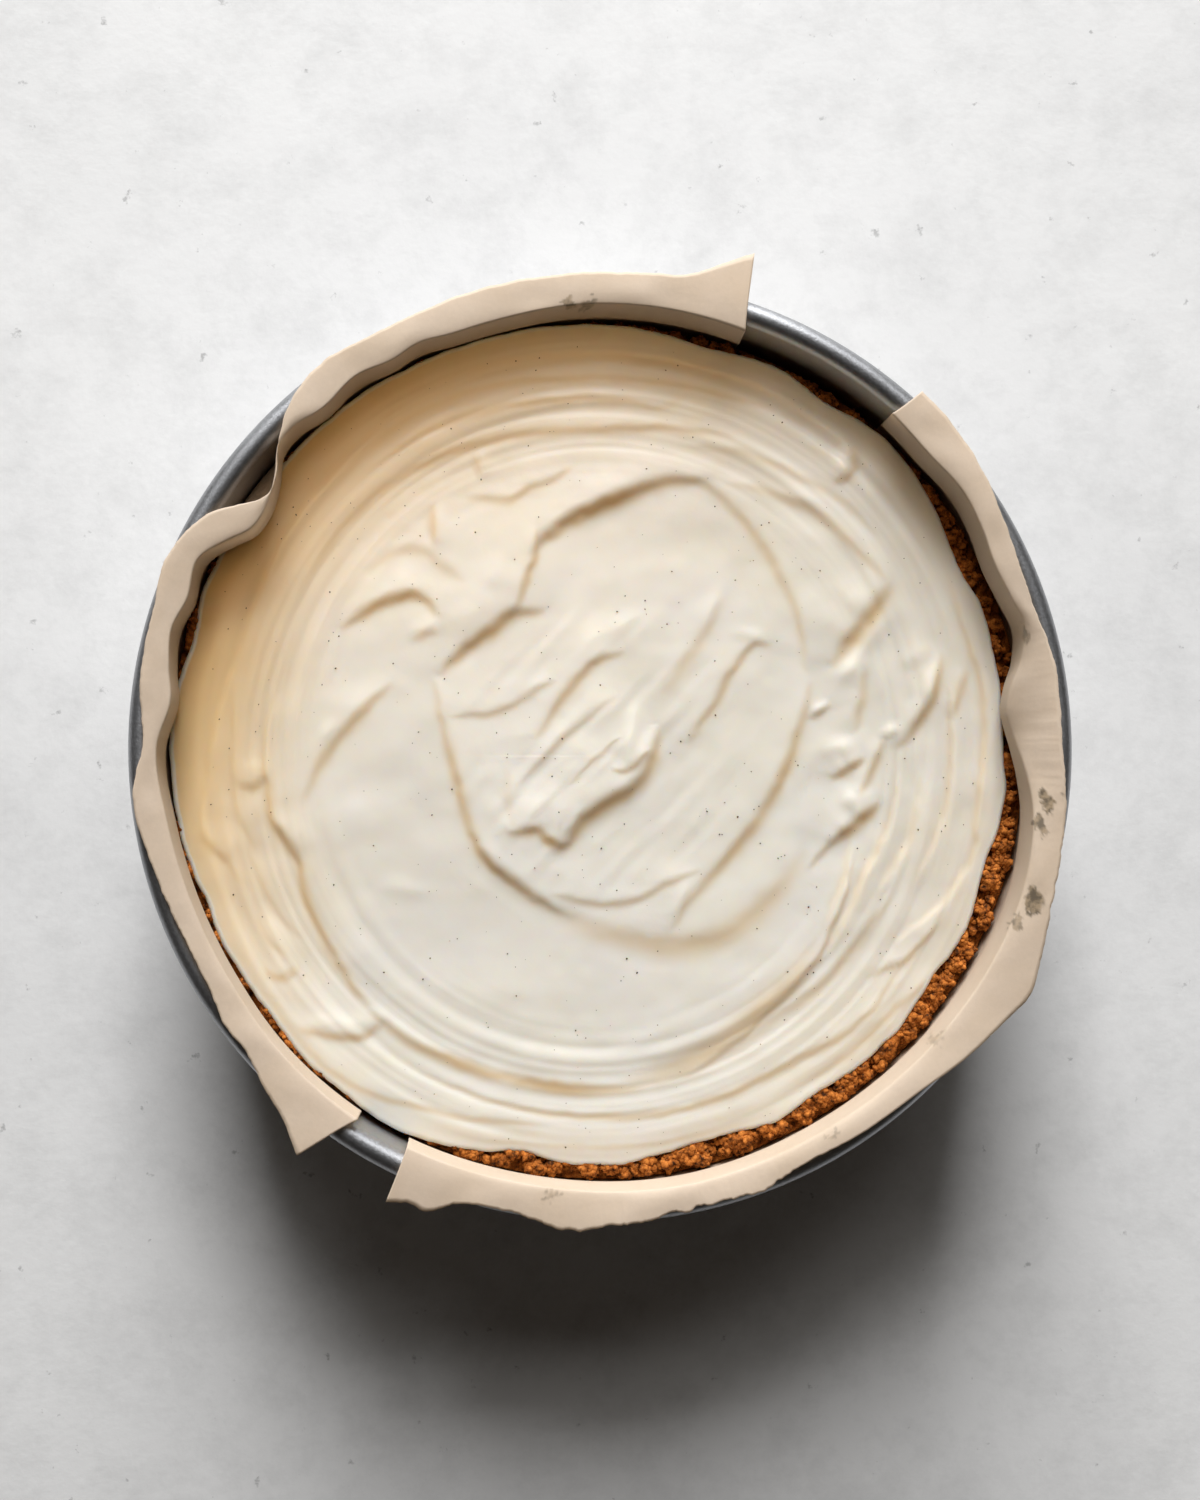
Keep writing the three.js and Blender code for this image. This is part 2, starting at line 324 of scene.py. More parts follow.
def makeFloor():  # a flat square under the tin, cloudy plaster with small pits
    half = view["floorSize"] / 2
    corners = [(-half, -half, 0), (half, -half, 0), (half, half, 0), (-half, half, 0)]
    floor = makeMesh("floor", corners, np.array([[0, 1, 2, 3]]))
    looks = Looks("pale_plaster")
    clouds = looks.ramp(looks.noise(0.16, 7, 0.62), (0.3, (0.79, 0.79, 0.79)), (0.7, (0.90, 0.90, 0.897)))
    stains = looks.ramp(looks.noise(0.022, 7, 0.75), (0.30, 0.88), (0.55, 1.0))
    pits = looks.ramp(looks.noise(0.0065, 4, 0.62), (0.27, 0.62), (0.33, 1.0))
    colour = looks.mix(1.0, looks.mix(1.0, clouds, stains, "MULTIPLY"), pits, "MULTIPLY")
    looks.bump((looks.noise(0.05, 5), 0.001, 0.10), (looks.noise(0.003, 4), 0.0003, 0.22))
    floor.data.materials.append(looks.set(Base_Color=colour, Roughness=0.62))


makeCamera()
makeLamp("window", view["window"])
makeLamp("skyLamp", view["skyLamp"])
warmLamp, rimLamp = makeLamp("warmLamp", view["warmLamp"]), makeLamp("rimLamp", view["rimLamp"])
makeRoom()
makeFloor()
print("camera, light and floor made")

# The tin.
tin = {
    "inside": 114.5 * mm, "wall": 0.8 * mm, "bead": 3.05 * mm, "corner": 5 * mm,
    "columns": 288, "beadSteps": 30, "cornerSteps": 8,
    # the ring that the tin stands on, and how far the middle of the base stands up inside it
    "ring": 9 * mm, "ringSlope": 2 * mm, "baseRim": 0.35 * mm,
    "hole": 2 * mm,  # the first ring of points about the middle
    "steel": (0.50, 0.51, 0.53), "roughness": 0.44,
}


def arcOf(centre, radius, fromAngle, toAngle, steps):  # points on a round corner, angles in degrees
    angle = np.radians(np.linspace(fromAngle, toAngle, steps))
    return np.stack([centre[0] + radius * np.cos(angle), centre[1] + radius * np.sin(angle)], axis=-1)


def tinProfile():  # from the middle underneath, up the outside, over the rolled rim and down the inside
    outer = tin["inside"] + tin["wall"]
    beadAt = (tin["inside"] + tin["bead"], rimTop - tin["bead"])
    joint = math.degrees(math.acos((outer - beadAt[0]) / tin["bead"]))
    foot = outer - tin["corner"] - tin["ring"]
    under = [(tin["hole"], tin["baseRim"]), (foot - tin["ringSlope"], tin["baseRim"]), (foot, 0)]
    inner = tin["corner"] - tin["wall"]
    return np.vstack([
        np.array(under),
        arcOf((outer - tin["corner"], tin["corner"]), tin["corner"], -90, 0, tin["cornerSteps"]),
        [(outer, 0.25 * rimTop), (outer, 0.5 * rimTop), (outer, 0.75 * rimTop)],
        arcOf(beadAt, tin["bead"], -joint, 180, tin["beadSteps"]),
        [(tin["inside"], 0.7 * rimTop), (tin["inside"], 0.4 * rimTop)],
        arcOf((outer - tin["corner"], tin["corner"]), inner, 0, -90, tin["cornerSteps"]),
        [(tin["hole"], tin["wall"])],
    ])


def makeTin():  # the profile turned about Z
    profile = tinProfile()
    turn = np.linspace(0, 2 * np.pi, tin["columns"], endpoint=False)
    piece = turnedPiece("tin_body", polarPoints(profile[:, :1], turn[None], profile[:, 1:]))
    looks = Looks("dull_tin")
    grain = looks.noise(0.0007, 3, 0.7)
    drawn = looks.noise(0.02, 4, 0.6, stretch=(1, 1, 14))  # faint rings from the drawing of the sheet
    scuffs = looks.noise(0.018, 5, 0.65)
    shade = looks.ramp(scuffs, (0.3, tuple(0.84 * c for c in tin["steel"])), (0.7, tin["steel"]))
    shade = looks.mix(1.0, shade, looks.ramp(grain, (0.3, 0.80), (0.7, 1.0)), "MULTIPLY")
    rough = looks.ramp(grain, (0.2, tin["roughness"] - 0.07), (0.8, tin["roughness"] + 0.09))
    looks.bump((drawn, 0.0003, 0.18), (grain, 0.00016, 0.40))
    finishPiece(piece, looks.set(Base_Color=shade, Metallic=1.0, Roughness=rough), "tin", "tin")


makeTin()

# The paper collars.
# Keys are (angle in degrees, millimetres): the fold's radius, the free edge's radius, how far the edge
# lifts over the fold, how far the fold drops and how torn the edge is.
paper = {
    # heights: the foot, where the sheet leaves the wall for its fold, and the fold
    "bottom": 7, "leave": 47, "fold": 66.8,
    "leaveAt": 0.4,   # the share of the wall part's rows that lies below that
    "wallRadius": 113.9, "press": 5.5, "arch": 0.5, "thickness": 0.16,
    "columns": 760, "footRows": 4, "wallRows": 18, "flapRows": 16,
    "colour": (0.765, 0.66, 0.545), "shade": (0.725, 0.615, 0.49),
    "through": (0.95, 0.82, 0.66), "sheer": 0.30,   # the light that comes through the sheet, and its share
    "left": {
        "foldEnds": (71.4, 236.4), "edgeEnds": (73.2, 233.0),
        "crease": [(70, 112.3), (80, 113), (92, 113.2), (105, 112.1), (111, 112.2), (115, 113.2),
                   (119, 112.3), (124, 113.4), (130, 111.8), (135, 113.2), (138, 112.0), (140.5, 108.6),
                   (143, 106.2), (146, 104.9), (149, 105.6), (151.5, 108.8), (155, 113.0), (161, 112),
                   (165, 113.4), (170, 111.9), (174, 110.3), (180, 113.0), (190, 112.0), (200, 111.4),
                   (213, 111.4), (222, 112.2), (238, 112.8)],
        "edge": [(70, 136), (73, 132.4), (76, 127.8), (80, 122.8), (85, 121.6), (95, 121.2), (106, 120.9),
                 (113, 120.3), (120, 120.2), (127, 120.9), (132, 118.7), (135, 115.8), (137.5, 112.8),
                 (140, 108.8), (142.5, 106.5), (144.5, 107), (147, 111.2), (150, 116.2), (153, 118.7),
                 (157, 120.4), (163, 119.1), (172, 118.4), (180, 116.4), (186, 119.4), (194, 117.9),
                 (200, 116.8), (207, 116.0), (212, 116.6), (216, 118.2), (221, 118.4), (225, 121),
                 (229, 123.4), (233, 128.4), (236, 132)],
        "lift": [(68, 0.8), (74, 0.5), (82, 0.2), (130, 0.2), (144, 0.8), (156, 0.3),
                 (190, 0.6), (210, 1.4), (225, 1.6), (238, 1.8)],
        "drop": [(70, 0), (238, 0)],
        "ragged": [(70, 0.10), (238, 0.12)],
    },
    "right": {
        "foldEnds": (243.6, 409.3), "edgeEnds": (244.2, 408.3),
        "crease": [(242, 112.6), (260, 112.2), (280, 112.8), (300, 112.3), (320, 112.8), (345, 112.6),
                   (353, 110.6), (358, 108.2), (362, 106.2), (365, 105.2), (368, 106.4), (372, 110.2),
                   (376, 112.4), (380, 111.3), (385, 110.6), (390, 112), (395, 113.1), (402, 112.2),
                   (410, 113)],
        "edge": [(242, 127.5), (245, 126.0), (247, 124.4), (248.6, 125), (252, 121), (257, 119.2),
                 (262, 120.8), (266, 122.3), (270, 121.2), (279, 118.9), (285, 118.4), (289, 119),
                 (295, 116.9), (303, 117.5), (313, 118.7), (319, 121.1), (325, 123.2), (330, 125.3),
                 (334, 123.6), (340, 121), (346, 119.8), (353, 118.7), (360, 117), (366, 117.1),
                 (372, 117.1), (377, 115.8), (384, 116.3), (390, 118.1), (396, 120.2), (404, 122),
                 (410, 122.4)],
        "lift": [(242, 1.2), (262, 1.3), (300, 1.4), (330, 1.4), (348, 1.2), (365, 1.2), (385, 0.3),
                 (400, 0.2), (412, 0.5)],
        "drop": [(242, 0), (320, 0), (340, 0), (350, 0.4), (357, 3.5), (364, 7.4), (371, 4), (378, 0.5),
                 (384, 0), (396, 0), (410, 0)],
        "ragged": [(242, 0.28), (292, 0.24), (300, 0.10), (345, 0.14), (410, 0.08)],
    },
    # grease spots: angle, place from the foot (0) over the fold (1) to the edge (2), width, strength
    "spots": [(353, 1.55, 5, 0.9), (350, 1.3, 4, 0.8), (340, 1.5, 5.5, 0.9), (337, 1.2, 4, 0.7),
              (15, 1.15, 3.5, 0.6), (95, 1.05, 3.5, 0.8), (92, 0.96, 4, 0.7), (263, 1.3, 3, 0.5),
              (300, 1.4, 2.5, 0.4), (318, 1.0, 4, 0.35)],
}


def collarSurface(facts, u, v):  # u runs along the strip; v is 0 at the foot, 1 at the fold, 2 at the edge
    flap = np.clip(v - 1, 0, 1)
    startAt = facts["foldEnds"][0] + (facts["edgeEnds"][0] - facts["foldEnds"][0]) * flap
    endAt = facts["foldEnds"][1] + (facts["edgeEnds"][1] - facts["foldEnds"][1]) * flap
    degrees = startAt + (endAt - startAt) * u
    crease = throughKeys(degrees, facts["crease"])
    torn = throughKeys(degrees, facts["ragged"])
    flat = degrees * 0
    teeth = (latticeNoise(degrees * 0.7, flat, 3) + 0.55 * latticeNoise(degrees * 1.9, flat, 4)
             + 0.3 * latticeNoise(degrees * 4.7, flat, 9))
    edge = throughKeys(degrees, facts["edge"]) + torn * teeth * 1.3
    fold = paper["fold"] - throughKeys(degrees, facts["drop"])
    leave = np.minimum(paper["leave"], fold - 12)
    reach = edge - crease
    rise = throughKeys(degrees, facts["lift"])
    # the wall part goes from the tin to the fold, the flap is a curve that leaves the fold upwards
    leaveAt = paper["leaveAt"]
    lowPart = paper["bottom"] + (leave - paper["bottom"]) * v / leaveAt
    highPart = leave + (fold - leave) * (v - leaveAt) / (1 - leaveAt)
    wallHeight = np.where(v < leaveAt, lowPart, highPart)
    pressed = smoothStep((wallHeight - leave) / paper["press"])
    wallRadius = paper["wallRadius"] + (crease - paper["wallRadius"]) * pressed
    turning = 2 * flap * (1 - flap)
    flapRadius = crease * (1 - flap) ** 2 + turning * (crease + 0.25 * reach) + edge * flap ** 2
    top = paper["fold"] + rise
    flapHeight = fold * (1 - flap) ** 2 + turning * (0.5 * (fold + top) + paper["arch"]) + top * flap ** 2
    radius = np.where(v <= 1, wallRadius, flapRadius)
    height = np.where(v <= 1, wallHeight, flapHeight)
    # the sheet cockles, most of all near its free edge
    loose = smoothStep((v - 0.55) / 1.2)
    cockle = 0.45 * latticeNoise(degrees / 9, v * 0.8, 12) + 0.25 * latticeNoise(degrees / 4.3, v * 1.4, 13)
    height = height + loose * cockle
    radius = radius - smoothStep((v - 0.5) / 0.7) * 0.3 * (cockle + 0.5)
    return radius * mm, np.radians(degrees), height * mm, degrees


def normalsOf(grid):  # the normal at each point of a grid of points, from its neighbours
    along = np.gradient(grid, axis=1)
    across = np.gradient(grid, axis=0)
    normal = np.cross(along, across)
    return normal / np.maximum(np.linalg.norm(normal, axis=-1, keepdims=True), 1e-12)


def makeCollar(name, facts):  # the surface moved half a thickness both ways along its normals, and a border
    v = np.concatenate([np.linspace(0, paper["leaveAt"], paper["footRows"])[:-1],
                        np.linspace(paper["leaveAt"], 1, paper["wallRows"])[:-1],
                        np.linspace(1, 2, paper["flapRows"])])
    u = np.linspace(0, 1, paper["columns"])
    uu, vv = np.meshgrid(u, v)
    radius, turn, height, degrees = collarSurface(facts, uu, vv)
    middle = polarPoints(radius, turn, height)
    away = normalsOf(middle) * paper["thickness"] * mm / 2
    rows, columns = uu.shape
    rim = np.concatenate([np.arange(columns), columns - 1 + columns * np.arange(1, rows),
                          rows * columns - 2 - np.arange(columns - 1),
                          columns * np.arange(rows - 2, 0, -1)])
    size = rows * columns
    inside = gridFaces(rows, columns)[:, ::-1]
    outside = gridFaces(rows, columns) + size
    border = np.stack([rim, np.roll(rim, -1), np.roll(rim, -1) + size, rim + size], axis=-1)
    points = np.vstack([(middle - away).reshape(-1, 3), (middle + away).reshape(-1, 3)])
    piece = makeMesh(name, points, np.vstack([inside, outside, border]))
    grease = np.zeros(uu.shape)
    for at, along, wide, strength in paper["spots"]:
        gap = (degrees - at + 180) % 360 - 180
        far = np.hypot(gap * 2.0, (vv - along) * 9)
        far += 1.6 * latticeNoise(degrees * 1.1, vv * 5, 23)
        far += 1.1 * latticeNoise(degrees * 3, vv * 13, 24)
        grease = np.maximum(grease, strength * smoothStep(wide * 0.62 - far))
    addValues(piece, "grease", np.tile(grease.ravel(), 2))
    return piece


def makePaperLook():  # mottled tan sheet with fibres, darker and shinier where it is greasy
    looks = Looks("baking_paper")
    mottle = looks.noise(0.012, 5, 0.6)
    fibres = looks.noise(0.0011, 4, 0.7, stretch=(1, 1, 2.5))
    colour = looks.ramp(mottle, (0.3, paper["shade"]), (0.65, paper["colour"]))
    colour = looks.mix(1.0, colour, looks.ramp(fibres, (0.3, 0.93), (0.7, 1.0)), "MULTIPLY")
    dark = looks.ramp(looks.noise(0.0022, 3, 0.6), (0.42, (0.10, 0.085, 0.06)), (0.6, (0.42, 0.33, 0.22)))
    colour = looks.mix(looks.attribute("grease"), colour, dark)
    rough = looks.ramp(looks.attribute("grease"), (0.0, 0.62), (1.0, 0.35))
    looks.bump((looks.noise(0.006, 4), 0.0004, 0.22), (fibres, 0.0001, 0.25))
    looks.sheer(paper["sheer"], looks.mix(looks.attribute("grease"), paper["through"], (0.75, 0.6, 0.4)))
    return looks.set(Base_Color=colour, Roughness=rough)


paperLook = makePaperLook()
for side in ("left", "right"):
    collar = makeCollar(f"collar_{side}", paper[side])
    finishPiece(collar, paperLook, "paper", f"paper_{side}")
print("paper made")

# The cream filling.
cream = {
    "level": 50.0, "columns": 496, "rings": 176,
    "bottom": 6.35, "side": 104.9, "sideTop": 46.5, "sideMiddle": 28, "corner": 3, "hole": 2,
    "edgeRound": 1.7, "sink": 0.9, "sinkWidth": 7,   # how the surface rounds off and sinks at its free edge
    # how far the cream spreads: angle in degrees, radius in millimetres
    "edge": [(-10, 107.6), (0, 106.4), (8, 107), (15, 107.4), (20, 107.9), (26, 106.7), (34, 108.7),
             (41, 111.1), (48, 111.9), (57, 109.8), (64, 111.3), (70, 111.2), (75, 109.8), (82, 111.6),
             (90, 112.4), (110, 112.6), (135, 112.7), (150, 111.9), (158, 112.5), (166, 110.8),
             (173, 112.6), (185, 112.5), (195, 112.1), (201, 110.7), (208, 111.3), (219, 110.8),
             (226, 112), (234, 112.2), (241, 113.0), (246, 112.0), (249, 111.2), (253, 109.8),
             (259, 107.4), (264, 108.6), (270, 109.2), (280, 107.2), (287, 106.3), (295, 108.4),
             (301, 107), (308, 107.6), (315, 107.8), (326, 106.3), (333, 107.8), (343, 106), (350, 107.6),
             (354, 108), (360, 106.4), (368, 107)],
    # rings left by the turning blade, and how far they stray from true circles
    "ringStart": 66, "ringDepth": 0.36, "ringWidth": 3.0, "stray": (2.2, 1.2),
    "fineDepth": 0.10, "fineWidth": 1.0,
    # the third colour is the painted shade colour, for the folds and the shaded edge band
    "colour": (0.755, 0.748, 0.712), "warm": (0.745, 0.732, 0.665), "deep": (0.71, 0.53, 0.275),
    "paintedCreaseShade": 0.75,   # how far the painted crease shade turns the creases to the shade colour
    "relief": 0.5,   # how much of the height of the folds and dabs below is used
    "rightRelief": 0.45,   # and how much more of it on the +X side
    # painted shade: how far the cream turns to the shade colour towards its edge, by angle, strongest where
    # the wall shades it, and how wide that band is
    "paintedEdgeShade": [(0, 0.10), (40, 0.06), (75, 0.18), (100, 0.35), (122, 0.68), (150, 0.9), (180, 0.97),
               (200, 0.62), (218, 0.18), (320, 0.12), (360, 0.10)],
    "paintedEdgeShadeWidth": 46,
    # Each mark is the line of a fold's foot, with the high side on its left. Then, in millimetres, come the
    # fold's height, how far that side reaches, the steep face's width, the hollow's depth and its reach.
    "marks": [
        # the lip of the wide bowl that the knife swept
        ([(-61, -68), (-56, -72), (-50, -76), (-40, -80.5), (-30, -84), (-20, -86.5), (-8, -88.5),
          (4, -88.5), (16, -87)], 2.1, 13, 3.2, 0.5, 5),
        ([(4, -86), (14, -84.5), (24, -80.5), (34, -74), (43, -66), (50, -59), (56, -50)],
         1.5, 12, 7.5, 0.3, 5),
        ([(14, -88), (24, -84.5), (31, -80), (41, -71.5), (50, -62.5), (57, -54), (60, -47), (64, -38),
          (66, -27)], 0.9, 5, 1.1, 0.4, 4),
        ([(-85, 14), (-87.5, 4), (-88, -6), (-86.5, -12), (-86, -19), (-82, -25), (-79, -29), (-78, -34),
          (-76, -42), (-73, -48), (-70, -53), (-66, -60), (-62, -66)], 1.7, 11, 1.8, 0.4, 4),
        ([(-87, -18), (-83.5, -22.5), (-79.5, -27.5)], 1.5, 6, 2.8, 0.4, 3),
        ([(-75, -46), (-70, -54), (-65, -61), (-61, -67)], 1.1, 6, 2.8, 0.3, 3),
        ([(-80, -73), (-74, -74), (-68, -74.8), (-63, -75.2), (-59, -72.5), (-56, -70.5)],
         1.4, 5, 1.5, 0.4, 4),
        # rings outside the bowl, along the bottom
        ([(-82, -70), (-75, -80), (-66, -87), (-58, -90.5), (-48, -93), (-38, -95.5), (-28, -97),
          (-12, -98)], 1.1, 7, 1.6, 0.3, 3),
        ([(-58, -77), (-46, -84.5), (-36, -89), (-26, -92.5), (-13, -95), (0, -96), (15, -95), (28, -92),
          (40, -87), (52, -81), (63, -75), (71, -68), (76, -60), (81, -54)], 1.2, 7, 1.8, 0.3, 3.5),
        ([(38, -77), (46, -70), (54, -64.5), (62, -57), (70, -47), (76, -39)], 0.9, 7, 2.4, 0.3, 4),
        ([(52, -88), (60, -83.5), (68, -77.5), (75, -70), (83, -63.5), (91, -56)], 0.8, 5, 1.4, 0.3, 3),
        ([(70, -60), (75, -57.5), (79, -56), (83, -52), (89, -46)], 0.9, 4, 1.2, 0.3, 3),
        ([(-50, -98), (-40, -100), (-30, -102), (-10, -103.5), (10, -103.5), (25, -101), (40, -97),
          (52, -91)], 0.7, 5, 1.4, 0.2, 3),
        # long grooves on the left
        ([(-50, 92), (-65, 78), (-80, 60), (-88, 45), (-95, 25), (-101, 5), (-103, -8), (-104.5, -22),
          (-99, -28), (-93, -36)], 1.2, 8, 1.6, 0.4, 3),
        ([(-104.5, -19), (-102.5, -25), (-97, -29.5)], 1.0, 5, 2.4, 0.3, 3),
        ([(-96, 18), (-96, 0), (-95.5, -14), (-93, -21), (-90, -26)], 0.8, 6, 1.4, 0.3, 3),
        ([(-92, -27), (-89, -34), (-86, -40), (-82, -46), (-78, -50)], 0.6, 5, 1.2, 0.2, 3),
        ([(-95, -9.5), (-91, -10), (-87, -7)], 1.3, 4, 1.8, 0.4, 3),
        ([(-88, -57), (-84, -59.5), (-79, -57)], 1.1, 4, 1.6, 0.3, 3),
        ([(-90, -43), (-87, -49), (-83, -54)], 0.6, 4, 0.9, 0.2, 2),
        ([(-98, -46), (-92, -57), (-86, -66), (-78, -76), (-68, -86), (-58, -94)], 0.6, 5, 1.8, 0.3, 3),
        # the upper left of the bowl
        ([(-69, 31), (-64, 34.5), (-59, 37.5), (-54, 39), (-50, 40), (-46, 38.5), (-43, 34)],
         2.4, 8, 3.0, 0.6, 5),
        ([(-78, -14), (-75, -7), (-71, 0), (-66, 6), (-61, 11.5), (-55, 17)], 1.5, 7, 2.6, 0.4, 5),
        ([(-43, 19), (-39.5, 23), (-35, 27), (-30, 30.5), (-26, 34), (-22, 36), (-15, 36)],
         2.6, 12, 3.2, 0.7, 6),
        ([(-24, 35), (-21.5, 40), (-20, 45), (-18, 50), (-17.5, 58)], 1.5, 7, 1.8, 0.3, 4),
        ([(-44, 64), (-44.5, 59), (-44, 53)], 1.3, 5, 1.6, 0.3, 3),
        ([(-36, 66), (-30, 65.5), (-24, 65.5), (-20, 68), (-14, 70.5), (-8, 74)], 1.1, 6, 2.2, 0.4, 4),
        ([(-33.5, 77), (-32, 71)], 0.9, 4, 1.2, 0.3, 3),
        ([(-50, 28), (-46, 30.5), (-43, 30)], 0.8, 5, 2.4, 0.3, 4),
        ([(-62, 46), (-55, 51), (-48, 52), (-42, 48), (-36, 43)], 0.8, 8, 3.2, 0.3, 6),
        # the scoop: its high back, its right side, the swirl round it
        ([(-20, 50), (-16, 54.5), (-11, 58.5), (-5, 62), (1, 64.8), (7, 67.2), (13, 69.6), (19, 71),
          (28, 70.5)], 2.9, 13, 3.4, 1.9, 24),
        ([(20, 71), (28, 69), (35, 63), (40, 57), (44, 51), (48, 44), (51, 37), (53, 29), (54, 20)],
         1.0, 13, 2.8, 0.6, 9),
        ([(-44, 18), (-42, 8), (-39.5, -2), (-37, -12), (-34, -22), (-31, -28.5), (-26, -33), (-20, -37.5),
          (-14, -41.5), (-7, -44.5)], 1.7, 13, 2.4, 0.5, 6),
        ([(-33, -25), (-29, -30), (-23, -35), (-17, -39.5), (-11, -43)], 1.2, 7, 3.4, 0.3, 4),
        ([(-14, -42), (-4, -46), (6, -49), (17, -51), (28, -49.5), (38, -44), (46, -36), (53, -26)],
         1.3, 13, 6.5, 0.3, 6),
        ([(17, -48), (20, -44), (22, -40), (26, -36), (31, -30.5), (35, -26), (39, -21), (43, -15),
          (46, -9), (49, -3), (51, 4), (53, 10), (55, 18)], 1.7, 12, 3.0, 0.5, 6),
        ([(-14, -38), (-4, -40.5), (4, -40.5), (10, -39), (15, -36.5), (19, -34.5), (26, -32)],
         0.9, 7, 1.8, 0.3, 4),
        # the peak in the middle
        ([(-12, -28), (-8.5, -23.5), (-5, -18.5), (0, -15), (5, -12), (9, -9), (12, -4.5), (13.5, 0),
          (14.3, 6)], 3.7, 15, 3.6, 0.8, 8),
        ([(-25, -22.5), (-21, -22), (-17, -21.5), (-14, -24), (-11.5, -25.5), (-8, -24.5)],
         1.9, 8, 2.4, 0.5, 6),
        ([(-24.5, -5), (-24.5, -13), (-23, -21)], 0.45, 5, 2.4, 0.2, 4),
        ([(2, -5.8), (5, -6), (9, -4), (12.5, 0)], 1.0, 4, 1.2, 0.2, 2),
        ([(-40, 8), (-36, 8.8), (-30, 9), (-24, 11), (-18, 15), (-12, 18)], 0.8, 7, 1.8, 0.3, 5),
        ([(-18, 2), (-14, 8), (-11, 13), (-7, 18), (-2, 22.5), (6, 25.5)], 1.4, 8, 2.6, 0.4, 5),
        ([(-22, -10), (-16, -3), (-10, 3), (-4, 8), (4, 14)], 0.6, 6, 1.4, 0.2, 4),
        ([(-9, -10), (-4, -5), (1, 0), (5, 3)], 0.5, 4, 1.1, 0.2, 3),
        ([(14, 12), (19, 19), (24, 26), (28, 33), (31, 40)], 0.8, 9, 3.4, 0.3, 6),
        ([(22, 1), (26, 7), (30, 13), (33, 19), (36.5, 24), (40, 27.5), (45, 27.5)], 1.3, 8, 2.2, 0.3, 5),
        # folds on the right
        ([(60, 22), (64, 27), (68, 32), (71.5, 37), (74.5, 41), (77, 44)], 2.2, 14, 4.4, 0.7, 5),
        ([(66, 4), (68, 12), (69, 21)], 1.0, 6, 2.4, 0.3, 4),
        ([(77, 0), (80.5, 3), (84, 8), (87, 13), (88.5, 19), (90, 25)], 1.6, 6, 2.2, 0.4, 4),
        ([(92, 8), (94, 14), (96.5, 21)], 1.2, 5, 2.2, 0.3, 4),
        ([(60, -8), (64, -5.8), (69, -2)], 1.6, 5, 2.4, 0.5, 4),
        ([(67, -12), (71, -6), (74, 2)], 1.2, 5, 1.8, 0.3, 4),
        ([(60, -25), (64.5, -21.5), (68, -18.5), (73, -14)], 2.0, 6, 2.8, 0.5, 5),
        ([(54, -32), (59, -26), (65, -21)], 0.7, 5, 1.2, 0.3, 4),
        ([(54, 8), (57, 9), (60, 12)], 0.7, 3, 1.2, 0.2, 3),
        ([(91, 50), (93.5, 40), (96, 31), (99, 22), (101, 12), (101, 2), (100, -8), (99, -18), (98, -28),
          (94, -35), (89, -41), (83, -46), (76, -52)], 1.1, 7, 1.6, 0.3, 3.5),
        ([(95.5, 19), (92.5, 13), (92, 5), (92, -5), (91, -14), (89, -21), (86, -28), (81, -37)],
         0.9, 7, 1.8, 0.3, 3.5),
        ([(84, -6), (83, -15), (81, -24), (77, -31), (72, -39)], 0.8, 6, 1.8, 0.3, 4),
        ([(78, -6), (76.5, -17), (73, -26), (69, -33), (66, -41), (62, -48), (56, -57)],
         1.0, 7, 2.0, 0.3, 4),
        ([(66, -24), (64, -33), (61, -41), (58, -48)], 0.8, 6, 1.8, 0.3, 4),
        # the stroke that ends in a knob, and the rings along the top
        ([(61, 70), (64.5, 72), (66.5, 75), (66, 80)], 1.3, 6, 1.3, 0.3, 3),
        ([(-80, 40), (-70, 56), (-57, 68.5), (-43, 76.5), (-28, 81.5), (-12, 83.8), (5, 84.3), (20, 84.6),
          (35, 82.5)], 1.2, 8, 2.2, 0.4, 5),
        ([(-62, 72), (-48, 82), (-30, 89), (-10, 92), (6, 91.5), (15, 90), (21, 93)], 0.9, 6, 1.8, 0.3, 4),
        ([(-70, 72), (-50, 87), (-30, 95), (-8, 97.5), (15, 97), (35, 93), (54, 86)], 0.8, 6, 1.8, 0.3, 4),
        ([(-52, 93), (-30, 101), (-8, 104), (12, 103), (32, 99), (50, 91), (64, 81)], 0.8, 5, 1.8, 0.3, 4),
        ([(20, 80), (36, 78.5), (50, 73), (62, 66.5), (74, 56)], 0.6, 7, 2.2, 0.3, 5),
        ([(32, 70), (44, 68), (54, 63.5), (62, 58), (70, 50), (76, 43)], 0.8, 10, 2.6, 0.3, 6),
    ],
    # Each dab is a small soft ridge: middle, angle in degrees, half its length, half its width, height.
    "dabs": [
        (7.5, 4, 78, 6, 2.2, 1.3), (2, 10, 40, 6, 3.5, 0.7), (-17, -15.5, 42, 7, 3.2, 0.7),
        (0, 30, 18, 13, 4, 0.6), (7, 33.5, 30, 4, 2, 0.35), (29, 37, 65, 6, 2.4, 0.6),
        (39, 30, -10, 4, 1.8, 0.5), (70, 28, 55, 11, 2.6, 1.1), (66, 21, 20, 4.5, 2.6, 0.7),
        (62.5, 0.5, 10, 4.5, 3, 1.0), (66.5, -13, 15, 4.5, 2.6, 0.9), (76, 4.5, 20, 2.6, 1.3, 0.8),
        (85.5, 14.5, 62, 8, 1.9, 0.8), (83, 24.5, 30, 4, 2.4, 0.6), (57, 10.5, 30, 2, 1, 0.6),
        (63.5, 75.5, 70, 4, 2, 0.7), (50, 66.5, -12, 9, 2.2, 0.6), (58, 56, -45, 10, 4, 0.6),
        (-84, -49.5, -63, 7, 2.4, 0.8), (-82.5, -63, -55, 4, 2, 0.6), (-72, 4, 50, 3, 1.6, 0.6),
        (-91, -5.5, 0, 3, 2, 0.5), (-91, -17, 80, 4, 2.2, 0.5), (-50, -37, -5, 6, 2.4, 0.5),
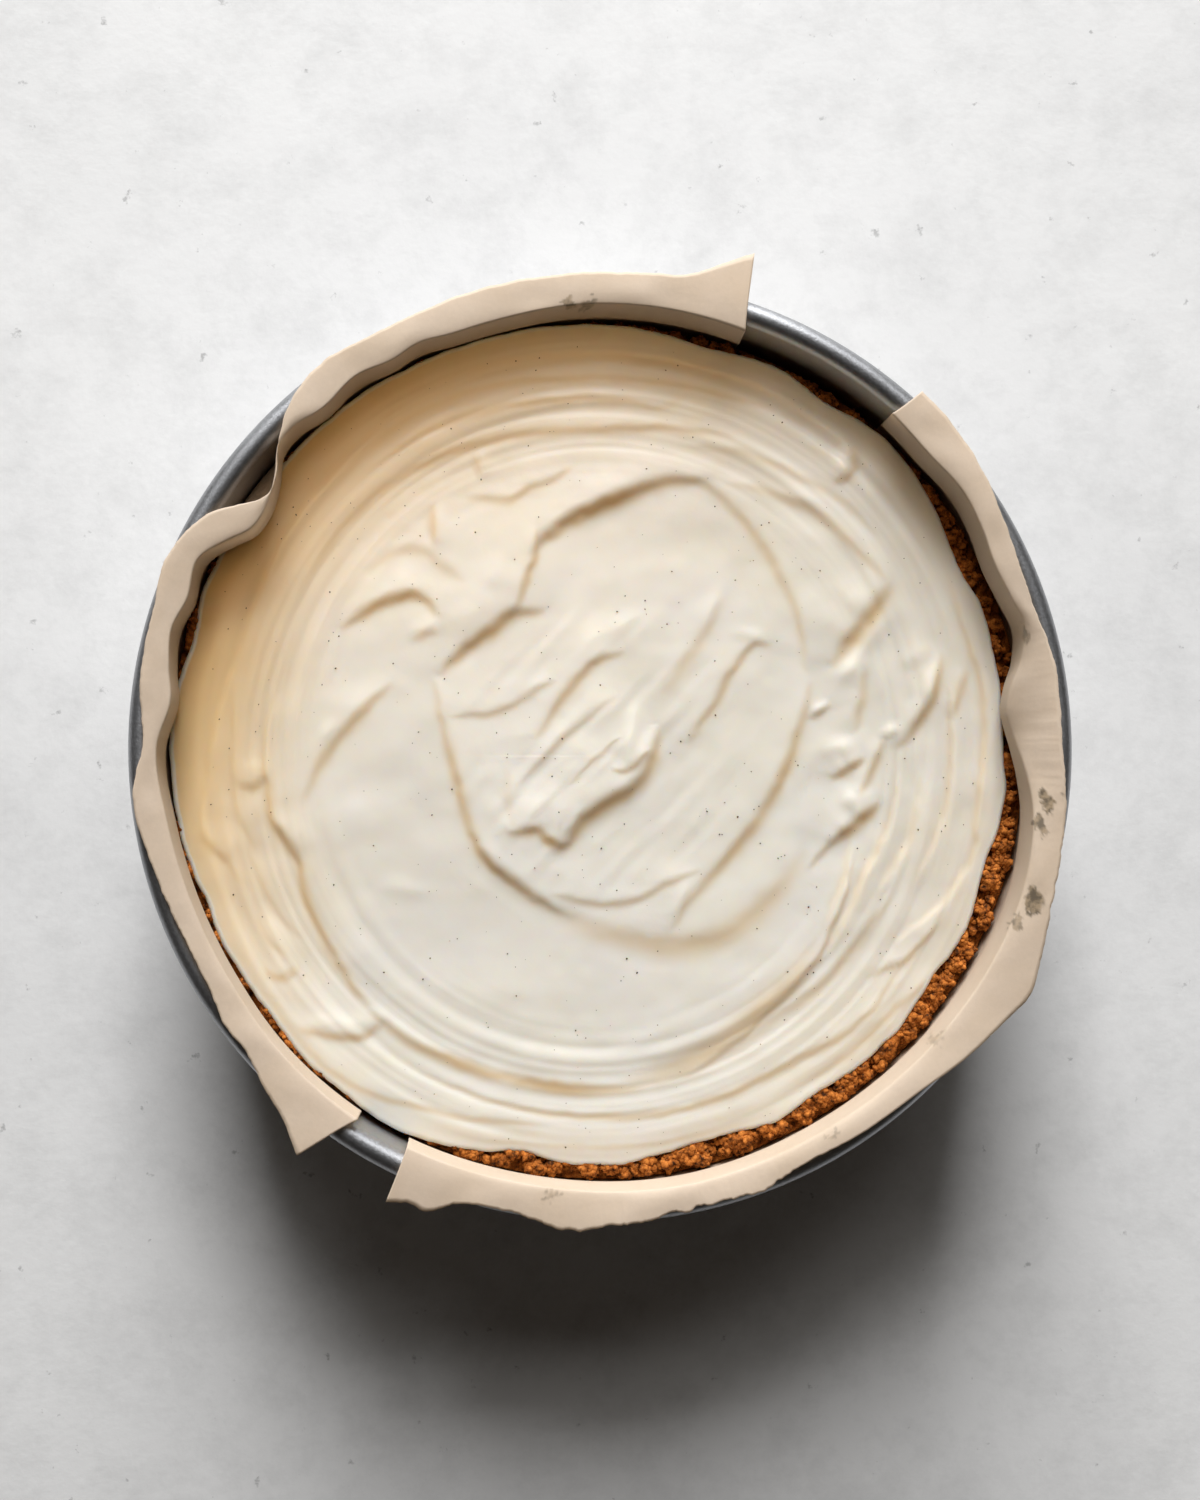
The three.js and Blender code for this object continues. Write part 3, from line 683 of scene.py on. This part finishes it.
        (-64, -71.5, 15, 4.5, 2, 0.7), (-73, -71.5, 5, 6, 2, 0.6), (9, -77, 20, 7, 2, 0.5),
        (-33, 36, 30, 9, 4, 0.8), (-32, 44, 25, 9, 4, 0.7), (-46, 31.5, 35, 4, 2, 0.5),
        (54, -4, 60, 8, 3, 0.4), (20, -40, 65, 5, 1.6, 0.6),
    ],
    "strokes": {"angle": 48, "depth": 0.10, "width": 2.6, "within": 44},   # fine ones round the peak
    "wave": 0.36, "waveSize": 24,   # the gentle hills of the whole surface
}


def splineThrough(points, each=8):  # a curve through the points, Catmull and Rom's
    p = np.array(points, float)
    p = np.vstack([2 * p[0] - p[1], p, 2 * p[-1] - p[-2]])
    t = (np.arange(each) / each)[:, None]
    pieces = []
    for k in range(1, len(p) - 2):
        a, b, c, d = p[k - 1:k + 3]
        square, cube = 2 * a - 5 * b + 4 * c - d, 3 * b - a - 3 * c + d
        pieces.append(0.5 * (2 * b + (c - a) * t + square * t ** 2 + cube * t ** 3))
    return np.vstack(pieces + [p[-2:-1]])


def besideLine(x, y, line):  # distance from the line, left positive; share along it; distance past its ends
    nearest, side = np.full(x.shape, 1e9), np.ones(x.shape)
    sumAlong, sumPast, sumWeight = np.zeros(x.shape), np.zeros(x.shape), np.zeros(x.shape)
    steps = np.hypot(*np.diff(line, axis=0).T)
    lengths = np.concatenate([[0], np.cumsum(steps)])
    for k in range(len(line) - 1):
        (ax, ay), (bx, by) = line[k], line[k + 1]
        dx, dy = bx - ax, by - ay
        free = ((x - ax) * dx + (y - ay) * dy) / steps[k] ** 2
        share = np.clip(free, 0, 1)
        ox, oy = x - ax - share * dx, y - ay - share * dy
        far = np.hypot(ox, oy)
        closer = far < nearest
        nearest = np.where(closer, far, nearest)
        side = np.where(closer, np.sign(dx * oy - dy * ox), side)
        over = -free if k == 0 else free - 1 if k == len(line) - 2 else 0 * free
        weight = (far * far + 0.05) ** -3  # nearer parts of the line count far more
        sumAlong += weight * (lengths[k] + share * steps[k]) / lengths[-1]
        sumPast += weight * np.maximum(over, 0) * steps[k]
        sumWeight += weight
    return nearest * np.where(side == 0, 1, side), sumAlong / sumWeight, sumPast / sumWeight


def markHeight(x, y, mark):  # a steep face at the line, with painted shade at its foot; its left side decays as exp(-(s / reach) ** 1.2)
    points, rise, reach, steep, hollow, hollowReach = mark
    line = splineThrough(points)
    height, shade = np.zeros(x.shape), np.zeros(x.shape)
    margin = 2.4 * max(reach, hollowReach)
    near = ((x > line[:, 0].min() - margin) & (x < line[:, 0].max() + margin)
            & (y > line[:, 1].min() - margin) & (y < line[:, 1].max() + margin))
    s, t, past = besideLine(x[near], y[near], line)
    s = s + 0.35 * latticeNoise(x[near] / 3.1, y[near] / 3.1, 5)
    swell = np.sin(np.pi * np.clip(t, 0, 1)) ** 0.6 * np.exp(-(past / 1.6) ** 2)
    wide = 0.35 + 0.65 * swell
    fade = swell * (1 + 0.22 * latticeNoise(t * 6, t * 0 + rise, 11))
    face = 0.5 * (1 + np.tanh(s / (0.5 * steep * wide)))
    left = rise * np.exp(-(np.maximum(s, 0) / (reach * wide)) ** 1.2)
    right = hollow * np.exp(-(np.maximum(-s, 0) / (hollowReach * wide)) ** 1.5)
    streaks = 0.05 * swell * latticeNoise(s / 1.3, t * 3, 17) * np.exp(-(s / reach) ** 2)
    height[near] = fade * (left * face - right * (1 - face) + streaks)
    # painted shade: a band along the foot of the steep face, where the fold's shade falls
    offFoot = (s + 0.15 * steep) / (0.42 * steep * wide + 0.5)
    shade[near] = fade * min(1, rise / 2.0) * np.exp(-offFoot ** 2)
    return height, shade


def dabHeight(x, y, dab):  # a bump that falls off as a bell along and across its own axis
    middleX, middleY, angle, length, width, rise = dab
    c, s = math.cos(math.radians(angle)), math.sin(math.radians(angle))
    along = ((x - middleX) * c + (y - middleY) * s) / length
    across = ((y - middleY) * c - (x - middleX) * s) / width
    return rise * np.exp(-np.abs(along) ** 2.4 - np.abs(across) ** 1.7)


def creamHeight(x, y):  # millimetres above the level, and the painted shade of the folds: folds, rings, gentle waves
    radius, turn = np.hypot(x, y), np.arctan2(y, x) % (2 * np.pi)
    ring = smoothStep((radius - cream["ringStart"]) / 20)
    wander = cream["stray"][0] * np.sin(turn + 0.6) + cream["stray"][1] * np.sin(2 * turn + 2)
    around = turn / (2 * np.pi)
    out = radius + wander
    depth, width = cream["ringDepth"], cream["ringWidth"]
    height = depth * ring * latticeNoise(out / width, around * 7, 21, 7)
    height += 0.4 * depth * ring * latticeNoise(out * 2.1 / width, around * 7, 22, 7)
    height += cream["fineDepth"] * ring * latticeNoise(out / cream["fineWidth"], around * 12, 31, 12)
    height += cream["wave"] * latticeNoise(x / cream["waveSize"], y / cream["waveSize"], 41)
    height += 0.16 * latticeNoise(x / 9, y / 9, 42) + 0.05 * latticeNoise(x / 4, y / 4, 43)
    facts = cream["strokes"]
    c, s = math.cos(math.radians(facts["angle"])), math.sin(math.radians(facts["angle"]))
    stroke = latticeNoise((y * c - x * s) / facts["width"], (x * c + y * s) / 16, 47)
    height += facts["depth"] * stroke * (1 - smoothStep((radius - facts["within"] + 14) / 14))
    folded = np.zeros(x.shape)
    stand = cream["relief"] * (1 + cream["rightRelief"] * smoothStep((x - 45) / 20))
    for mark in cream["marks"]:
        rise, shade = markHeight(x, y, mark)
        height += stand * rise
        folded = np.maximum(folded, shade)
    for dab in cream["dabs"]:
        height += stand * dabHeight(x, y, dab)
    return height, folded


def creamEdge(turn):  # the radius that the cream spreads to
    degrees = np.degrees(turn) % 360
    ripple = 0.25 * latticeNoise(degrees / 3.1, degrees * 0, 51)
    ripple += 0.15 * latticeNoise(degrees / 1.2, degrees * 0, 52)
    return throughKeys(degrees, cream["edge"]) + ripple


def creamTop(x, y):  # the surface's height, sinking a little at its free edge, and its painted shade in the folds and along the edge
    radius, turn = np.hypot(x, y), np.arctan2(y, x)
    sink = cream["sink"] * smoothStep((radius - creamEdge(turn) + cream["sinkWidth"]) / cream["sinkWidth"])
    height, folded = creamHeight(x, y)
    # painted shade: a band along the edge, strongest where the wall shades the cream
    band = smoothStep(1 - (creamEdge(turn) - radius) / cream["paintedEdgeShadeWidth"])
    paintedEdgeShade = throughKeys(np.degrees(turn) % 360, cream["paintedEdgeShade"]) * band
    folded = 1 - (1 - cream["paintedCreaseShade"] * folded) * (1 - paintedEdgeShade)
    return cream["level"] + height * (1 - 0.6 * smoothStep((radius - 98) / 12)) - sink, folded


def makeCreamLook():  # pale soft patches, with painted shade in golden brown in the folds and along the edge
    looks = Looks("lemon_cream")
    colour = looks.ramp(looks.noise(0.03, 4, 0.6), (0.35, cream["warm"]), (0.65, cream["colour"]))
    # painted shade: the folds and the shaded edge band turn to the shade colour
    colour = looks.mix(looks.attribute("folded"), colour, cream["deep"])
    looks.bump((looks.noise(0.0035, 4, 0.55), 0.0003, 0.12), (looks.noise(0.0008, 3, 0.6), 0.00006, 0.2))
    rough = looks.ramp(looks.noise(0.008, 3), (0.3, 0.34), (0.7, 0.46))
    return looks.set(Base_Color=colour, Roughness=rough, Subsurface_Weight=0.8, Subsurface_Scale=0.0045,
                     Subsurface_Radius=(1.0, 0.72, 0.45))


def makeCream():  # a plain cup below, a rounded edge, then rings of the swirled top
    turn = np.linspace(0, 2 * np.pi, cream["columns"], endpoint=False)
    edge, bend = creamEdge(turn), cream["edgeRound"]
    share = np.linspace(1, 0, cream["rings"], endpoint=False)[:, None]
    radius = (edge - bend)[None] * share
    height, folded = creamTop(radius * np.cos(turn), radius * np.sin(turn))
    rounding = np.radians(np.linspace(-50, 90, 9, endpoint=False))[:, None]
    roundRadius = (edge - bend)[None] + bend * np.cos(rounding)
    roundHeight = height[:1] - bend + bend * np.sin(rounding)
    bottom, side, corner = cream["bottom"], cream["side"], cream["corner"]
    under = np.array([(cream["hole"], bottom), (side - corner, bottom), (side, bottom + corner),
                      (side, cream["sideMiddle"]), (side, cream["sideTop"])])
    lowRadius, lowHeight = under[:, :1] + 0 * turn, under[:, 1:] + 0 * turn
    radius = np.vstack([lowRadius, roundRadius, radius]) * mm
    height = np.vstack([lowHeight, roundHeight, height]) * mm
    piece = turnedPiece("cream_filling", polarPoints(radius, turn[None], height))
    hidden = np.zeros((len(radius) - len(folded), len(turn)))
    addValues(piece, "folded", np.concatenate([hidden.ravel(), folded.ravel(), (0, 0)]))
    finishPiece(piece, makeCreamLook(), "cream", "filling")


specks = {"count": 520, "size": (0.10, 0.25), "colour": (0.035, 0.022, 0.013), "within": 107}


def makeSpecks():  # vanilla seeds, half sunk in the cream
    rng = np.random.default_rng(19)
    radius = specks["within"] * np.sqrt(rng.uniform(0, 1, specks["count"]))
    turn = rng.uniform(0, 2 * np.pi, specks["count"])
    radius = np.minimum(radius, creamEdge(turn) - 3)
    x, y = radius * np.cos(turn), radius * np.sin(turn)
    size = specks["size"][0] + (specks["size"][1] - specks["size"][0]) * rng.uniform(0, 1, len(x)) ** 2
    centres = np.stack([x, y, creamTop(x, y)[0]], axis=-1) * mm
    piece = scatterLumps("vanilla_specks", centres, size * mm, 20, 0.25)
    looks = Looks("vanilla")
    pale = tuple(2.2 * c for c in specks["colour"])
    shade = looks.ramp(looks.noise(0.0005, 2), (0.3, specks["colour"]), (0.7, pale))
    finishPiece(piece, looks.set(Base_Color=shade, Roughness=0.5), "crumb")


makeCream()
makeSpecks()
print("cream made")

# The crust.
crust = {
    "outer": 113.2, "inner": 105.2, "top": 47.3, "floor": 6.0, "bottom": 1.15,
    "corner": 4.5, "fillet": 2.5, "hole": 2, "shoulder": 3.4,
    "columns": 1300, "topRows": 54,
    "clumps": 1150, "clumpSize": (0.8, 2.5), "gap": 3.6, "lift": (-2.8, 0.1), "grain": 0.4,
    "hollow": 1.5, "hollowTurn": 25, "hollowReach": 32,   # how far the rim sinks, and about which angle
    # loose crumbs: how many, and their sizes in millimetres
    "coarse": {"count": 6000, "size": (0.45, 1.05), "seed": 8},
    "fine": {"count": 6500, "size": (0.24, 0.46), "seed": 9},
    "brown": (0.31, 0.094, 0.016), "dark": (0.045, 0.016, 0.006), "toasted": (0.60, 0.215, 0.043),
}


def crustClumps():  # where the clumps sit round the rim of the crust, how big and how high
    rng = np.random.default_rng(61)
    count = crust["clumps"]
    small, large = crust["clumpSize"]
    low, high = crust["lift"]
    turn = rng.uniform(0, 2 * np.pi, count)
    radius = rng.uniform(crust["inner"] + 1, crust["outer"] - 1.6, count)
    size = small + (large - small) * rng.uniform(0, 1, count) ** 1.6
    return radius * np.cos(turn), radius * np.sin(turn), size, rng.uniform(low, high, count)


clumpPlaces = crustClumps()


def crustRise(x, y):  # the highest clump over each point, each a flattened ball, less the hollow's bell
    rise = np.full(x.shape, -crust["gap"])
    for middleX, middleY, size, lift in zip(*clumpPlaces):
        near = (np.abs(x - middleX) < size) & (np.abs(y - middleY) < size)
        far = ((x[near] - middleX) ** 2 + (y[near] - middleY) ** 2) / size ** 2
        ball = np.where(far < 1, lift + 0.75 * size * np.sqrt(np.clip(1 - far, 0, 1)), -crust["gap"])
        rise[near] = np.maximum(rise[near], ball)
    away = (np.degrees(np.arctan2(y, x)) - crust["hollowTurn"]) / crust["hollowReach"]
    return np.minimum(rise, 1.3) - crust["hollow"] * np.exp(-away ** 2)


def makeCrust():  # a cup turned about Z, its rim raised by the clumps and a fine grain
    turn = np.linspace(0, 2 * np.pi, crust["columns"], endpoint=False)
    outer, inner, bottom, floorTop = (crust[key] for key in ("outer", "inner", "bottom", "floor"))
    corner, fillet = crust["corner"], crust["fillet"]
    middle, half = (outer + inner) / 2, (outer - inner) / 2
    # a profile over the top: out of the outer side, round the shoulder, down the inner side
    lean = np.linspace(-1, 1, crust["topRows"])
    side = middle - half * np.sign(lean) * np.abs(lean) ** 0.8
    top = np.stack([side, crust["top"] - crust["shoulder"] * np.abs(lean) ** 6], axis=-1)
    low = np.array([(crust["hole"], bottom), (outer - corner, bottom), (outer, bottom + corner)])
    inside = np.array([(inner, floorTop + fillet), (inner - fillet, floorTop), (crust["hole"], floorTop)])
    profile = np.vstack([low, top, inside])
    radius, height = profile[:, :1] + 0 * turn, profile[:, 1:] + 0 * turn
    shown = slice(len(low), len(low) + len(top))
    x, y = radius[shown] * np.cos(turn), radius[shown] * np.sin(turn)
    grain = latticeNoise(x / 0.8, y / 0.8, 62) + 0.6 * latticeNoise(x / 1.7, y / 1.7, 63)
    height[shown] += (1 - np.abs(lean) ** 5)[:, None] * crustRise(x, y) + crust["grain"] * grain
    piece = turnedPiece("crust_body", polarPoints(radius * mm, turn[None], height * mm))
    finishPiece(piece, makeCrumbLook("pressed_crumb", 0.8), "crumb", "crust")


def makeCrumbLook(name, bright):  # dark, brown and toasted patches
    looks = Looks(name)
    shade = [tuple(bright * c for c in crust[key]) for key in ("dark", "brown", "toasted")]
    colour = looks.ramp(looks.noise(0.0021, 4, 0.65), (0.35, shade[0]), (0.47, shade[1]), (0.63, shade[2]))
    looks.bump((looks.noise(0.0011, 4, 0.7), 0.0008, 0.5), (looks.noise(0.0004, 3), 0.0002, 0.5))
    return looks.set(Base_Color=colour, Roughness=0.8, Specular_IOR_Level=0.12)


def makeCrumbs(name, facts):  # crumbs lie on the clumps, fewer in the gaps, none under the cream
    rng = np.random.default_rng(facts["seed"])
    tries = facts["count"] * 5
    turn = rng.uniform(0, 2 * np.pi, tries)
    radius = rng.uniform(crust["inner"] + 0.4, crust["outer"] - 0.5, tries)
    x, y = radius * np.cos(turn), radius * np.sin(turn)
    rise = crustRise(x, y)
    wanted = (radius > creamEdge(turn) - 1.2) & (rng.uniform(-2.4, 0.3, tries) < rise)
    x, y, rise, radius = [part[wanted][:facts["count"]] for part in (x, y, rise, radius)]
    small, large = facts["size"]
    size = small + (large - small) * rng.uniform(0, 1, len(x)) ** 1.8
    across = (2 * radius - crust["outer"] - crust["inner"]) / (crust["outer"] - crust["inner"])
    height = crust["top"] + rise - crust["shoulder"] * np.abs(across) ** 7
    height += size * rng.uniform(-0.1, 0.75, len(x))
    beside = radius < creamEdge(np.arctan2(y, x)) + 0.3   # these touch the cream and stay under its edge
    height = np.where(beside, np.minimum(height, crust["top"] + 0.2), height)
    piece = scatterLumps(name, np.stack([x, y, height], axis=-1) * mm, size * mm, facts["seed"] + 40, 0.28)
    finishPiece(piece, makeCrumbLook(name + "_look", 1.0), "crumb")


makeCrust()
makeCrumbs("coarse_crumbs", crust["coarse"])
makeCrumbs("fine_crumbs", crust["fine"])
print("crust made")

lightOnly(warmLamp, "cream", "vanilla", "crust", "coarse", "fine", "collar")
lightOnly(rimLamp, "cream", "vanilla")

print("pie finished")
